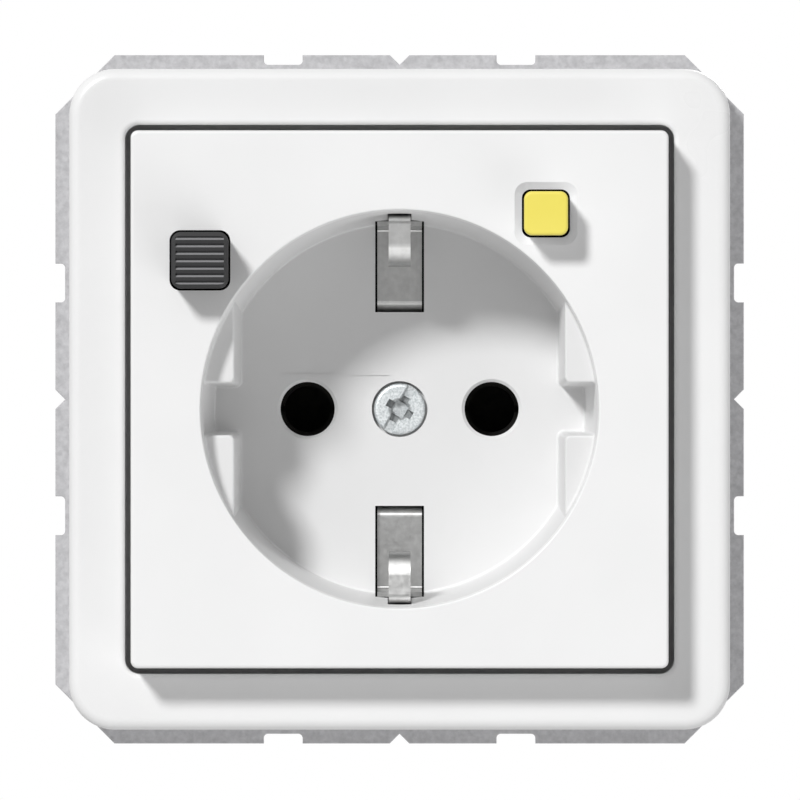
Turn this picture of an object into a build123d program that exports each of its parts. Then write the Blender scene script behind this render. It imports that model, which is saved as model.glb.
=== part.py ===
from build123d import *
import math
import os

os.makedirs("parts", exist_ok=True)

# A flush wall socket outlet with a residual current breaker behind it, in millimetres.
# +X is right and +Z is up as seen from the room, and the front looks towards -Y.
# The wall is at y = 0, where the back of the mounting plate lies on it.
# The origin is the middle of the pattern of box screws.

# Clearances shared by the fits below
slide_fit = 0.08
drop_in_fit = 0.10
loose_gap = 0.20
assembly_gap = 0.30

# Mounting plate: stamped galvanised steel, 71 mm square, with its box screws 60 mm apart
plate_t = 1.2
plate_rim = 2.0
plate_corner_cut = 6.1
plate_edge_break = 0.06
edge_notch_w = 4.0
edge_notch_deep = 1.0
edge_notch_at = 12.0
edge_notch_r = 0.45
edge_vee_w = 2.0
edge_vee_deep = 1.0
box_slot_web = 2.9
box_slot_w = 3.6
box_slot_len = 7.0

# Breaker housing behind the wall, 50 mm square so that it fits a round box of 60 mm
housing_wall = 1.6
housing_flat = 17.0
rear_cover_t = 2.0
rear_cover_edge_r = 1.0
rear_cover_field = (27.0, 17.0)
rear_cover_field_r = 1.5
rear_cover_field_deep = 0.4
rear_cover_tab_w = 15.0
rear_cover_tab_t = 1.1
rear_cover_tab_len = 3.0

# Cover frame: moulded, stands on the mounting plate
frame_side = 68.0
frame_corner_r = 4.7
frame_height = 9.5
frame_edge_r = 1.15
frame_face_t = 1.8
frame_wall = 1.6
frame_window = 56.5
frame_window_r = 1.5
frame_lip_r = 0.6
frame_inner_wall = 1.2
frame_ledge_t = 1.3
frame_rib_t = 0.8
frame_rib_at = 20.0

# Centre plate and the plug well behind its round opening
cover_height = 15.0
cover_side_gap = 0.62
cover_corner_r = 0.75
cover_edge_r = 0.35
cover_face_t = 1.8
cover_skirt_t = 1.5
well_drop = 1.0
well_rim_d = 41.0
well_narrowing = 1.3
well_deep = 17.5
well_wall = 1.2
well_floor_t = 2.0
well_rim_r = 0.2
well_floor_r = 0.28
pin_pitch = 19.0
pin_hole_d = 5.6
pin_hole_edge = 0.3
guide_w_top = 3.5
guide_w_floor = 2.8
guide_face_deep = 2.9
guide_edge_r = 0.25
guide_corner_r = 0.6
guide_root_r = 0.3
key_half_top = 2.7
key_half_floor = 2.35
legend_line_w = 11.0
legend_line_t = 0.12
legend_line_at = (-6.6, 2.55)

# Earthing strap: one bent strip with a spring tongue at each end
strap_w = 4.6
strap_t = 0.5
strap_slot_gap = 0.22
strap_slot_start = 10.0
strap_slot_into_wall = 0.3
strap_slot_up_wall = 4.1
strap_seat_below_floor = 1.05
strap_flat_below_floor = 1.2
strap_end_gap = 0.35
strap_drop_r = 0.8
strap_leg_in = 0.75
strap_bend_r = 0.5
tongue_w = 2.25
tongue_groove_gap = 0.10
tongue_groove_top = 5.1
tongue_groove_into_wall = 0.62
tongue_fold_below_top = 0.3
tongue_fold_out = 0.22
tongue_fold_r = 0.5
tongue_reach = 4.6
tongue_nose_fall = 0.7
tongue_nose_r = 2.6
tongue_nose_len = 3.8
tongue_turn_r = 2.0
tongue_end_back = 1.5
tongue_end_fall = 3.2
strap_rivet_at = 5.7
strap_rivet_d = 1.6
strap_rivet_head_d = 3.0
strap_rivet_head_t = 0.5

# Cover screw and its threaded insert
cover_screw_head_d = 5.3
cover_screw_head_t = 1.1
cover_screw_head_hole_d = 5.76
cover_screw_head_below = 0.1
cover_screw_d = 3.0
cover_screw_len = 9.8
cover_screw_slot_w = 1.1
cover_screw_slot_deep = 0.35
cover_screw_cross_w = 0.8
cover_screw_cross_len = 2.9
cover_screw_cross_deep = 0.7
cover_screw_square = 1.45
cover_screw_square_deep = 0.9
cover_screw_turn = 60.0
insert_d = 5.2
insert_len = 6.0

# Reset button, top left
reset_from_rim = 5.08
reset_turn = 143.33
reset_hole = (6.25, 6.2)
reset_gap = 0.2
reset_corner_r = 1.0
reset_proud = 5.0
reset_cap_h = 9.0
reset_edge = 0.45
reset_grooves = 7
reset_groove_pitch = 0.766
reset_groove_w = 0.42
reset_groove_deep = 0.32
reset_travel = 2.4
reset_stem_off = (0.62, -0.43)
reset_stem_d = 2.4

# Test button, top right
test_from_rim = 4.6
test_turn = 53.21
test_side = 4.5
test_gap = 0.22
test_corner_r = 0.8
test_proud = 4.3
test_cap_h = 7.8
test_edge_r = 0.3
test_dish_side = 6.45
test_dish_corner_r = 1.3
test_dish_deep = 0.85
test_travel = 1.6
test_stem_off = (-0.43, -0.5)
test_stem_d = 2.0

# Springs and clips on the two button stems
reset_spring_r = 1.85
reset_spring_wire = 0.45
test_spring_r = 1.55
test_spring_wire = 0.4
spring_turns = 5
clip_t = 0.6
clip_groove_deep = 0.3
clip_rim = 0.85

# Contact carrier: a moulded ring in the plate, and the base in it that holds every contact
carrier_flange_t = 1.5
carrier_flange_lap = 1.1
carrier_bore_past_rim = 0.8
carrier_rim_wall = 1.0
carrier_ledge_w = 0.6
carrier_ledge_deep = 0.8
base_t = 3.0
sleeve_tower_wall = 1.35
insert_boss_wall = 1.4

# Contact sleeves for the plug pins
sleeve_bore_d = 4.8
sleeve_wall = 0.45
sleeve_set_back = 3.5
sleeve_len = 12.5
sleeve_slot_w = 0.6
sleeve_slot_len = 9.0

# Switching poles: fixed contacts, bridges and the carriage
pad_w = 3.0
bar_t = 1.0
bar_behind_sleeve = 5.5
pad_below_terminal = 0.3
pad_spacing = 6.3
contact_tip_d = 2.4
fixed_tip_t = 0.6
moving_tip_t = 0.45
bridge_t = 0.8
bridge_w = 2.8
contact_pressed_gap = 0.15
carriage_t = 2.6
carriage_rim = 0.7
carriage_arm_rim = 0.4
guide_pin_d = 2.4
guide_post_d = 4.8
guide_pin_ahead = 1.0
opening_spring_r = 1.7
opening_spring_wire = 0.4

# Summation transformer round both conductors
core_below_pad = 5.5
core_outer_d = 14.6
core_inner_d = 7.8
core_h = 4.6
winding_t = 0.5
winding_arc = 150.0
cradle_w = 3.2
cradle_wrap = 0.4

# Load bars through the transformer
bar_w = 1.8
bar_gap = 1.8
bar_strip = 1.2
sleeve_bar_w = 3.0

# Trip relay, its plunger and the trip lever
relay_off_tower = 0.8
relay_off_wall = 0.4
relay_off_boss = 3.65
relay_len = 13.0
relay_wall_edge = 0.5
plunger_d = 2.2
plunger_out = 1.8
plunger_in = 3.7
plunger_travel = 0.8
lever_off_side = 11.4
lever_off_top = 13.2
lever_arm_h = 2.0
lever_plunger_arm = 5.0
lever_tip = 0.7
lever_catch_arm = 5.5
catch_off_pin = 0.5
lever_hub_d = 4.4
lever_pin_d = 1.8
lever_off_carrier = 8.1
lever_t = 2.0
lever_nose = 1.0
lever_pin_head_t = 0.5

# Test circuit: leaf contact and resistor
leaf_len = 15.0
leaf_w = 2.6
leaf_t = 0.3
leaf_eye_d = 0.8
leaf_off_carrier = 4.7
resistor_off_stem = (1.2, -0.3)
resistor_d = 2.4
resistor_len = 6.0
lead_d = 0.7
lead_len = 1.6

# Circuit board on the left
board_t = 1.2
board_off_wall = 0.8
board_off_bottom = 13.4
board_off_top = 14.9
board_len = 17.5
can_d = 5.8
can_off_tower = 1.6
rectifier_size = (2.4, 5.5, 5.0)
chip_size = (1.6, 4.5, 5.0)
small_part_size = (1.0, 0.8, 1.4)
small_parts = 4
small_part_pitch = 2.4
part_margin = 2.5

# Terminals at the back, with wires from above and below
terminal_x = 11.0
terminal_w = 6.5
terminal_h = 8.0
terminal_off_wall = 2.0
terminal_deep = 9.0
wire_hole_d = 3.4
wire_entry_d = 4.6
wire_deep = 4.4
terminal_screw_d = 3.0
terminal_screw_head_d = 5.0
terminal_screw_head_t = 1.6
terminal_screw_slot_w = 0.9
terminal_access_d = 5.6
barrier_t = 1.0

# Long screws that hold the housing to the carrier
long_screw_off_side = 3.1
long_screw_off_bottom = 9.8
long_screw_off_top = 10.1
long_screw_d = 2.5
long_screw_boss_wall = 1.4
long_screw_head_d = 4.6
long_screw_head_t = 1.1
long_screw_cross_w = 0.7
long_screw_cross_len = 2.6
long_screw_bite = 6.0

# Earth link from the strap to the earth terminal
earth_link_w = 3.0
earth_link_off_rivet = 2.5

# Places that follow from the sizes above: the front
cover_face_y = -cover_height
frame_face_y = -frame_height
well_z = -well_drop
well_top_y = cover_face_y + cover_face_t
floor_y = cover_face_y + well_deep
floor_back_y = floor_y + well_floor_t
cover_side = frame_window - 2 * cover_side_gap
frame_back_y = -plate_t
flange_front_y = -plate_t - carrier_flange_t
ledge_back_y = flange_front_y - loose_gap
ledge_front_y = ledge_back_y - frame_ledge_t
carrier_back_y = floor_back_y + base_t
carrier_bore_d = well_rim_d + 2 * carrier_bore_past_rim
carrier_side = carrier_bore_d + 2 * (well_drop + carrier_rim_wall)
housing_in_side = carrier_side + 2 * drop_in_fit
housing_side = housing_in_side + 2 * housing_wall
housing_in_r = (housing_in_side - housing_flat) / 2
housing_corner_r = housing_in_r + housing_wall
carrier_corner_r = housing_in_r - drop_in_fit
opening_side = carrier_side + 2 * assembly_gap
opening_corner_r = carrier_corner_r + assembly_gap
flange_side = opening_side + 2 * carrier_flange_lap
flange_corner_r = opening_corner_r + carrier_flange_lap
box_screw_spacing = opening_side + 2 * box_slot_web + box_slot_len
plate_side = box_screw_spacing + box_slot_len + 2 * plate_rim
well_floor_d = well_rim_d - 2 * well_narrowing
well_taper = well_narrowing / well_deep
guide_inner_top = well_rim_d / 2 - guide_w_top
guide_inner_floor = well_floor_d / 2 - guide_w_floor
strap_slot_end = well_floor_d / 2 + strap_slot_into_wall
strap_slot_top_y = floor_y - strap_slot_up_wall
strap_seat_y = floor_back_y + strap_seat_below_floor
tongue_groove_r = strap_slot_end + tongue_groove_into_wall
reset_r = well_rim_d / 2 + reset_from_rim
reset_x = reset_r * math.cos(math.radians(reset_turn))
reset_z = well_z + reset_r * math.sin(math.radians(reset_turn))
reset_stem_at = (reset_x + reset_stem_off[0], reset_z + reset_stem_off[1])
test_r = well_rim_d / 2 + test_from_rim
test_x = test_r * math.cos(math.radians(test_turn))
test_z = well_z + test_r * math.sin(math.radians(test_turn))
test_stem_at = (test_x + test_stem_off[0], test_z + test_stem_off[1])

# Places of the contacts and the breaker, from the carrier back to the rear cover
sleeve_outer_d = sleeve_bore_d + 2 * sleeve_wall
sleeve_pocket_d = sleeve_outer_d + 2 * drop_in_fit
sleeve_tower_d = sleeve_pocket_d + 2 * sleeve_tower_wall
sleeve_start = floor_back_y + sleeve_set_back
sleeve_end = sleeve_start + sleeve_len
bar_front = sleeve_end + bar_behind_sleeve
bar_back_y = bar_front + bar_t
bar_low_z = well_z - bar_strip / 2
terminal_z = housing_in_side / 2 - terminal_off_wall - terminal_h / 2
terminal_back_y = bar_back_y + terminal_deep
wire_y = bar_back_y + wire_deep
rear_y = terminal_back_y + rear_cover_t
pole_x = terminal_x
supply_pad_z = terminal_z - pad_below_terminal
load_pad_z = supply_pad_z - pad_spacing
fixed_tip_y = bar_front - fixed_tip_t
bridge_back_y = fixed_tip_y - contact_pressed_gap - reset_travel - moving_tip_t
bridge_front_y = bridge_back_y - bridge_t
carriage_front_y = bridge_front_y - carriage_t
guide_post_z = (supply_pad_z + load_pad_z) / 2
guide_post_front = bar_back_y
core_z = load_pad_z - core_below_pad
core_y = bar_front
reset_stem_end_y = carriage_front_y - loose_gap
leaf_front = carrier_back_y + leaf_off_carrier
leaf_z = test_stem_at[1]
leaf_root_x = test_stem_at[0] + test_stem_d / 2 + 2 * loose_gap - leaf_len
leaf_stroke = test_travel * leaf_len / (test_stem_at[0] - leaf_root_x)
test_stem_end_y = leaf_front - assembly_gap
test_tip_front = leaf_front + leaf_t + leaf_stroke + loose_gap
resistor_front = test_tip_front + lead_len
lever_x = housing_in_side / 2 - lever_off_side
lever_z = housing_in_side / 2 - lever_off_top
guide_post_x = lever_x - lever_catch_arm - guide_pin_d / 2 - catch_off_pin
lever_front = carrier_back_y + lever_off_carrier
lever_arm_low = lever_z - lever_arm_h / 2
lever_arm_high = lever_z + lever_arm_h / 2
lever_nose_rise = plunger_travel * lever_catch_arm / lever_plunger_arm
plunger_x = lever_x + lever_plunger_arm
plunger_tip_z = lever_arm_low - assembly_gap
relay_top_z = plunger_tip_z - plunger_out
relay_left_x = pin_pitch / 2 + sleeve_tower_d / 2 + relay_off_tower
relay_right_x = housing_in_side / 2 - relay_off_wall
board_left_x = board_off_wall - housing_in_side / 2
board_right_x = board_left_x + board_t
can_len = -pin_pitch / 2 - sleeve_tower_d / 2 - board_right_x - can_off_tower
board_low_z = board_off_bottom - housing_in_side / 2
board_high_z = housing_in_side / 2 - board_off_top
long_screw_x = housing_in_side / 2 - long_screw_off_side
long_screw_low_z = long_screw_off_bottom - housing_in_side / 2
long_screw_high_z = housing_in_side / 2 - long_screw_off_top
long_screw_head_hole_d = long_screw_head_d + 2 * loose_gap
long_screw_boss_d = long_screw_d + 2 * loose_gap + 2 * long_screw_boss_wall
long_screw_at = (
    (-long_screw_x, long_screw_low_z),
    (long_screw_x, long_screw_low_z),
    (long_screw_x, long_screw_high_z),
)
relay_low_z = long_screw_low_z + long_screw_boss_d / 2 + relay_off_boss
earth_link_z = well_z - strap_rivet_at - earth_link_off_rivet


def front_plane(y):
    """A plane that faces the room at depth y, drawn on with +X right and +Z up."""
    return Plane(origin=(0, y, 0), x_dir=(1, 0, 0), z_dir=(0, -1, 0))


def slab(outline, y_front, y_back):
    """The outline, as seen from the front, made solid between two depths."""
    return extrude(front_plane(y_back) * outline, amount=y_back - y_front)


def rod(x, z, diameter, y_front, y_back):
    """A round bar along the depth."""
    return slab(Pos(x, z) * Circle(diameter / 2), y_front, y_back)


def block(x_low, x_high, y_low, y_high, z_low, z_high):
    """A plain rectangular solid between the given faces."""
    middle = ((x_low + x_high) / 2, (y_low + y_high) / 2, (z_low + z_high) / 2)
    return Pos(*middle) * Box(x_high - x_low, y_high - y_low, z_high - z_low)


def rounded(width, height, radius, x=0, z=0):
    """A rectangle with round corners, as seen from the front."""
    return Pos(x, z) * RectangleRounded(width, height, radius)


def front_face(solid):
    """The face nearest to the room."""
    return solid.faces().sort_by(Axis.Y)[0]


def well_solid(extra, y_front, y_back):
    """The cone of the plug well, wider by extra, between two depths."""
    def radius(y):
        return well_rim_d / 2 - (y - cover_face_y) * well_taper + extra

    profile = Polygon(
        (0, y_front),
        (radius(y_front), y_front),
        (radius(y_back), y_back),
        (0, y_back),
        align=None,
    )
    axis = Axis((0, 0, well_z), (0, 1, 0))
    return revolve(Pos(0, 0, well_z) * profile, axis=axis, revolution_arc=360)


def four_ways(solid):
    """The solid and its mirror images across the middle of the plug well."""
    across = Plane(origin=(0, 0, well_z), x_dir=(1, 0, 0), z_dir=(0, 0, 1))
    pair = [solid, mirror(solid, about=Plane.YZ)]
    return pair + [mirror(piece, about=across) for piece in pair]


def coil_spring(x, z, mean_r, wire_d, y_front, y_back, turns):
    """A round wire compression spring between two seats."""
    rise = y_back - y_front - wire_d
    path = Helix(
        pitch=rise / turns,
        height=rise,
        radius=mean_r,
        center=(x, y_front + wire_d / 2, z),
        direction=(0, 1, 0),
    )
    section = Plane(origin=path @ 0, z_dir=path % 0) * Circle(wire_d / 2)
    return sweep(section, path=path, is_frenet=True)


def mounting_plate():
    outline = chamfer(Rectangle(plate_side, plate_side).vertices(), plate_corner_cut)
    half = plate_side / 2
    notch = rounded(edge_notch_w, 2 * edge_notch_deep, edge_notch_r, edge_notch_at, half)
    vee = Polygon(
        (-edge_vee_w / 2 - edge_vee_deep, half + edge_vee_deep),
        (edge_vee_w / 2 + edge_vee_deep, half + edge_vee_deep),
        (0, half - edge_vee_deep),
        align=None,
    )
    cuts = notch + mirror(notch, about=Plane.YZ) + vee
    for side in range(4):
        outline -= Rot(0, 0, 90 * side) * cuts
    plate = slab(outline, -plate_t, 0)
    plate = chamfer(front_face(plate).outer_wire().edges(), plate_edge_break)
    holes = rounded(opening_side, opening_side, opening_corner_r)
    for turn in range(4):
        place = Rot(0, 0, 90 * turn) * Pos(box_screw_spacing / 2, 0)
        holes += place * SlotOverall(box_slot_len, box_slot_w)
    return plate - slab(holes, -plate_t, 0)


def cover_frame():
    """The outer frame, hollow behind, with a collar and a ledge that hold the centre plate."""
    frame = slab(rounded(frame_side, frame_side, frame_corner_r), frame_face_y, frame_back_y)
    frame = fillet(front_face(frame).outer_wire().edges(), frame_edge_r)
    inside = frame_side - 2 * frame_wall
    inside_r = frame_corner_r - frame_wall
    frame -= slab(rounded(inside, inside, inside_r), frame_face_y + frame_face_t, frame_back_y)
    collar = frame_window + 2 * frame_inner_wall
    collar_r = frame_window_r + frame_inner_wall
    frame += slab(rounded(collar, collar, collar_r), frame_face_y + frame_face_t, ledge_back_y)
    rib_start = frame_window / 2
    rib_end = frame_side / 2 - frame_wall / 2
    for turn in range(4):
        for x in (-frame_rib_at, frame_rib_at):
            rib = block(
                x - frame_rib_t / 2,
                x + frame_rib_t / 2,
                frame_face_y + frame_face_t / 2,
                ledge_back_y,
                rib_start,
                rib_end,
            )
            frame += Rot(0, 90 * turn, 0) * rib
    frame -= slab(rounded(frame_window, frame_window, frame_window_r), frame_face_y, ledge_front_y)
    ledge = flange_side + 2 * assembly_gap
    frame -= slab(rounded(ledge, ledge, frame_window_r), ledge_front_y, ledge_back_y)
    return fillet(front_face(frame).inner_wires()[0].edges(), frame_lip_r)


def guide_block():
    """The raised block of the well, right of the middle and above it."""
    outer_x = well_rim_d / 2 + well_wall
    outer_z = well_rim_d / 2
    face_y = cover_face_y + guide_face_deep

    def outline(x_low, z_low):
        corner = (x_low + outer_x) / 2, well_z + (z_low + outer_z) / 2
        return Pos(*corner) * Rectangle(outer_x - x_low, outer_z - z_low)

    low = front_plane(floor_y) * outline(guide_inner_floor, key_half_floor)
    high = front_plane(face_y) * outline(guide_inner_top, key_half_top)
    guide = loft([low, high])
    along = guide.edges().filter_by(lambda e: abs(e.bounding_box().size.Y) > well_deep / 2)
    inner_edge = along.sort_by(lambda e: e.center().X + e.center().Z)[0]
    guide = fillet(inner_edge, guide_corner_r)
    rim = [
        edge
        for edge in front_face(guide).outer_wire().edges()
        if edge.center().X < outer_x - well_wall / 2
        and edge.center().Z < well_z + outer_z - well_wall / 2
    ]
    guide = fillet(rim, guide_edge_r)
    return guide & well_solid(well_wall / 2, face_y, floor_y)


def centre_plate():
    plate = slab(rounded(cover_side, cover_side, cover_corner_r), cover_face_y, ledge_front_y)
    plate = fillet(front_face(plate).outer_wire().edges(), cover_edge_r)
    inside = cover_side - 2 * cover_skirt_t
    plate -= slab(rounded(inside, inside, cover_corner_r), well_top_y, ledge_front_y)
    plate -= well_solid(0, cover_face_y, well_top_y)
    plate = fillet(front_face(plate).inner_wires()[0].edges(), well_rim_r)

    # Button openings, the one for the test button with a sloping dish round it
    reset_r_in = reset_corner_r + reset_gap / 2
    reset_outline = rounded(*reset_hole, reset_r_in, reset_x, reset_z)
    plate -= slab(reset_outline, cover_face_y, well_top_y)
    hole_side = test_side + 2 * test_gap
    hole_r = test_corner_r + test_gap / 2
    plate -= slab(
        rounded(hole_side, hole_side, hole_r, test_x, test_z), cover_face_y, well_top_y
    )
    dish_low = front_plane(cover_face_y + test_dish_deep) * rounded(
        hole_side, hole_side, hole_r, test_x, test_z
    )
    dish_high = front_plane(cover_face_y) * rounded(
        test_dish_side, test_dish_side, test_dish_corner_r, test_x, test_z
    )
    return plate - loft([dish_low, dish_high])


def plug_well():
    """The cup that takes the plug, behind the centre plate and screwed down through its floor."""
    room = well_solid(0, well_top_y, floor_y)
    for guide in four_ways(guide_block()):
        room -= guide

    # The inner corners are rounded: where the guides meet the wall, and along the floor
    guide_y = cover_face_y + guide_face_deep
    roots = [
        edge
        for edge in room.edges()
        if abs(edge.bounding_box().max.Y - guide_y) < guide_edge_r / 2
        and abs(edge.bounding_box().min.Y - guide_y) < guide_edge_r / 2
        and math.hypot(edge.center().X, edge.center().Z - well_z) > well_floor_d / 2
    ]
    room = fillet(roots, guide_root_r)
    room = fillet(room.faces().sort_by(Axis.Y)[-1].outer_wire().edges(), well_floor_r)
    well = well_solid(well_wall, well_top_y, floor_back_y) - room

    # Holes in the floor: two for the plug pins, one for the screw and two for the earth strap
    for x in (-pin_pitch / 2, pin_pitch / 2):
        well -= rod(x, well_z, pin_hole_d, floor_y, floor_back_y)
        mouth = front_plane(floor_y + pin_hole_edge) * Pos(x, well_z) * Circle(pin_hole_d / 2)
        lip = front_plane(floor_y) * Pos(x, well_z) * Circle(pin_hole_d / 2 + pin_hole_edge)
        well -= loft([mouth, lip])
    seat_y = floor_y + cover_screw_head_below + cover_screw_head_t
    well -= rod(0, well_z, cover_screw_head_hole_d, floor_y, seat_y)
    well -= rod(0, well_z, cover_screw_d + 2 * loose_gap, floor_y, floor_back_y)
    slot_half = strap_w / 2 + strap_slot_gap
    groove_half = tongue_w / 2 + tongue_groove_gap
    for side in (-1, 1):
        near, far = sorted((side * strap_slot_start, side * strap_slot_end))
        well -= block(
            -slot_half,
            slot_half,
            strap_slot_top_y,
            floor_back_y,
            well_z + near,
            well_z + far,
        )
        near, far = sorted((side * (strap_slot_end - strap_leg_in), side * tongue_groove_r))
        well -= block(
            -groove_half,
            groove_half,
            cover_face_y + tongue_groove_top,
            floor_y,
            well_z + near,
            well_z + far,
        )

    # A fine moulded line where the plain legend field ends
    line_x, line_z = legend_line_at
    line = Pos(line_x, line_z) * Rectangle(legend_line_w, legend_line_t)
    return well + slab(line, floor_y - legend_line_t, floor_y)


def earth_strap():
    """One bent strip, drawn as its middle line from the side and given its thickness."""
    drop_z = well_z + strap_slot_start + strap_end_gap
    flat_y = floor_y + strap_flat_below_floor
    leg_z = well_z + strap_slot_end - strap_leg_in
    fold_z = well_z + strap_slot_end + tongue_fold_out
    fold_y = cover_face_y + tongue_groove_top + tongue_fold_below_top
    nose_z = well_z + strap_slot_end - tongue_reach
    nose_y = fold_y + tongue_nose_fall
    turn_y = nose_y + tongue_nose_len
    line = FilletPolyline(
        (strap_seat_y, well_z),
        (strap_seat_y, drop_z),
        (flat_y, drop_z),
        (flat_y, leg_z),
        (fold_y, fold_z),
        (nose_y, nose_z),
        (turn_y, nose_z),
        (turn_y + tongue_end_fall, nose_z + tongue_end_back),
        radius=[
            strap_drop_r,
            strap_drop_r,
            strap_bend_r,
            tongue_fold_r,
            tongue_nose_r,
            tongue_turn_r,
        ],
    )
    half = extrude(Plane.YZ * trace(line, strap_t), amount=strap_w / 2, both=True)
    shoulder_y = strap_slot_top_y + assembly_gap
    for side in (-1, 1):
        near, far = sorted((side * tongue_w / 2, side * strap_w))
        half -= block(near, far, cover_face_y, shoulder_y, well_z, well_z + well_rim_d)
    across = Plane(origin=(0, 0, well_z), x_dir=(1, 0, 0), z_dir=(0, 0, 1))
    strap = half + mirror(half, about=across)
    screw_hole_d = cover_screw_d + 2 * loose_gap
    strap -= rod(0, well_z, screw_hole_d, strap_seat_y - strap_t, strap_seat_y + strap_t)
    for side in (-1, 1):
        strap -= rod(
            0,
            well_z + side * strap_rivet_at,
            strap_rivet_d + 2 * drop_in_fit,
            strap_seat_y - strap_t,
            strap_seat_y + strap_t,
        )
    return strap


def strap_rivets():
    front = strap_seat_y - strap_t / 2
    rivets = []
    for side in (-1, 1):
        z = well_z + side * strap_rivet_at
        rivet = rod(0, z, strap_rivet_d, front - strap_rivet_head_t, carrier_back_y)
        rivet += rod(0, z, strap_rivet_head_d, front - strap_rivet_head_t, front)
        rivet += rod(0, z, strap_rivet_head_d, carrier_back_y, carrier_back_y + strap_rivet_head_t)
        rivets.append(rivet)
    return Compound(children=rivets)


def cover_screw():
    head_front = floor_y + cover_screw_head_below
    head_back = head_front + cover_screw_head_t
    screw = rod(0, well_z, cover_screw_head_d, head_front, head_back)
    screw = fillet(front_face(screw).edges(), cover_screw_head_t / 3)
    screw += rod(0, well_z, cover_screw_d, head_back, head_back + cover_screw_len)
    turned = Pos(0, well_z) * Rot(0, 0, cover_screw_turn)
    slot = turned * Rectangle(cover_screw_head_d, cover_screw_slot_w)
    cross = turned * (
        Rectangle(cover_screw_cross_len, cover_screw_cross_w)
        + Rectangle(cover_screw_cross_w, cover_screw_cross_len)
    )
    square = turned * Rectangle(cover_screw_square, cover_screw_square)
    screw -= slab(slot, head_front, head_front + cover_screw_slot_deep)
    screw -= slab(cross, head_front, head_front + cover_screw_cross_deep)
    return screw - slab(square, head_front, head_front + cover_screw_square_deep)


def cover_screw_insert():
    back = carrier_back_y + insert_len - assembly_gap
    front = strap_seat_y + strap_t / 2 + assembly_gap
    insert = rod(0, well_z, insert_d, front, back)
    return insert - rod(0, well_z, cover_screw_d + slide_fit, front, back)


def contact_sleeve(side):
    x = side * pin_pitch / 2
    sleeve = rod(x, well_z, sleeve_outer_d, sleeve_start, sleeve_end)
    sleeve -= rod(x, well_z, sleeve_bore_d, sleeve_start, sleeve_end - sleeve_wall)
    half = sleeve_outer_d / 2
    sleeve -= block(
        x - half,
        x + half,
        sleeve_start,
        sleeve_start + sleeve_slot_len,
        well_z - sleeve_slot_w / 2,
        well_z + sleeve_slot_w / 2,
    )
    return sleeve


def contact_carrier():
    """The ring round the plug well, with a flange in front that lies on the mounting plate."""
    carrier = slab(rounded(flange_side, flange_side, flange_corner_r), flange_front_y, -plate_t)
    outline = rounded(carrier_side, carrier_side, carrier_corner_r)
    carrier += slab(outline, -plate_t, carrier_back_y)

    # The bore has a small ledge that stops the base, which goes in from behind
    ledge_front = floor_back_y - carrier_ledge_deep
    ledge_d = carrier_bore_d - 2 * carrier_ledge_w
    carrier -= rod(0, well_z, carrier_bore_d, flange_front_y, ledge_front)
    carrier -= rod(0, well_z, ledge_d, ledge_front, floor_back_y)
    carrier -= rod(0, well_z, carrier_bore_d, floor_back_y, carrier_back_y)

    # Bushes of the two button stems and pilot holes of the long screws
    carrier -= rod(*reset_stem_at, reset_stem_d + 2 * slide_fit, flange_front_y, carrier_back_y)
    carrier -= rod(*test_stem_at, test_stem_d + 2 * slide_fit, flange_front_y, carrier_back_y)
    for x, z in long_screw_at:
        carrier -= rod(x, z, long_screw_d + slide_fit, carrier_back_y - long_screw_bite, carrier_back_y)
    return carrier


def contact_base():
    """The thick disc behind the plug well, clamped to the ledge of the carrier by the screw."""
    base = rod(0, well_z, carrier_bore_d - 2 * drop_in_fit, floor_back_y, carrier_back_y)

    # Seat of the earth strap, with the holes of its rivets and of the earth link
    half = strap_w / 2 + strap_slot_gap
    reach = strap_slot_start + strap_end_gap + strap_t
    seat_back = strap_seat_y + strap_t / 2
    base -= block(-half, half, floor_back_y, seat_back, well_z - reach, well_z + reach)
    for side in (-1, 1):
        z = well_z + side * strap_rivet_at
        base -= rod(0, z, strap_rivet_d + 2 * drop_in_fit, seat_back, carrier_back_y)
    link_half = earth_link_w / 2 + drop_in_fit
    base -= block(
        -link_half,
        link_half,
        seat_back,
        carrier_back_y,
        earth_link_z - bar_t / 2 - drop_in_fit,
        earth_link_z + bar_t / 2 + drop_in_fit,
    )

    # Towers for the contact sleeves and the boss of the cover screw
    for x in (-pin_pitch / 2, pin_pitch / 2):
        base += rod(x, well_z, sleeve_tower_d, carrier_back_y, sleeve_end - 2 * sleeve_wall)
        base -= rod(x, well_z, sleeve_pocket_d, floor_back_y, sleeve_end)
    boss_back = carrier_back_y + insert_len
    base += rod(0, well_z, insert_d + 2 * insert_boss_wall, carrier_back_y, boss_back)
    base -= rod(0, well_z, insert_d + drop_in_fit, seat_back, boss_back)

    # Post of the lever pin and post of the test contact leaf
    lever_post_back = lever_front - loose_gap
    base += rod(lever_x, lever_z, lever_hub_d, carrier_back_y, lever_post_back)
    base -= rod(lever_x, lever_z, lever_pin_d + drop_in_fit, carrier_back_y, lever_post_back)
    leaf_post_x = leaf_root_x - leaf_eye_d / 2 - loose_gap
    return base + block(
        leaf_post_x - leaf_w,
        leaf_post_x,
        carrier_back_y,
        leaf_front + leaf_t + leaf_w / 2,
        leaf_z - leaf_w / 2,
        leaf_z + leaf_w / 2,
    )


def stem(place, diameter, y_front, y_back):
    """A button stem with the groove of its clip."""
    x, z = place
    bar = rod(x, z, diameter, y_front, y_back)
    groove_front = carrier_back_y + loose_gap / 2
    ring = rod(x, z, 2 * diameter, groove_front, groove_front + clip_t + loose_gap / 2)
    core = rod(x, z, diameter - 2 * clip_groove_deep, groove_front, groove_front + 2 * clip_t)
    return bar - (ring - core)


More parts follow.
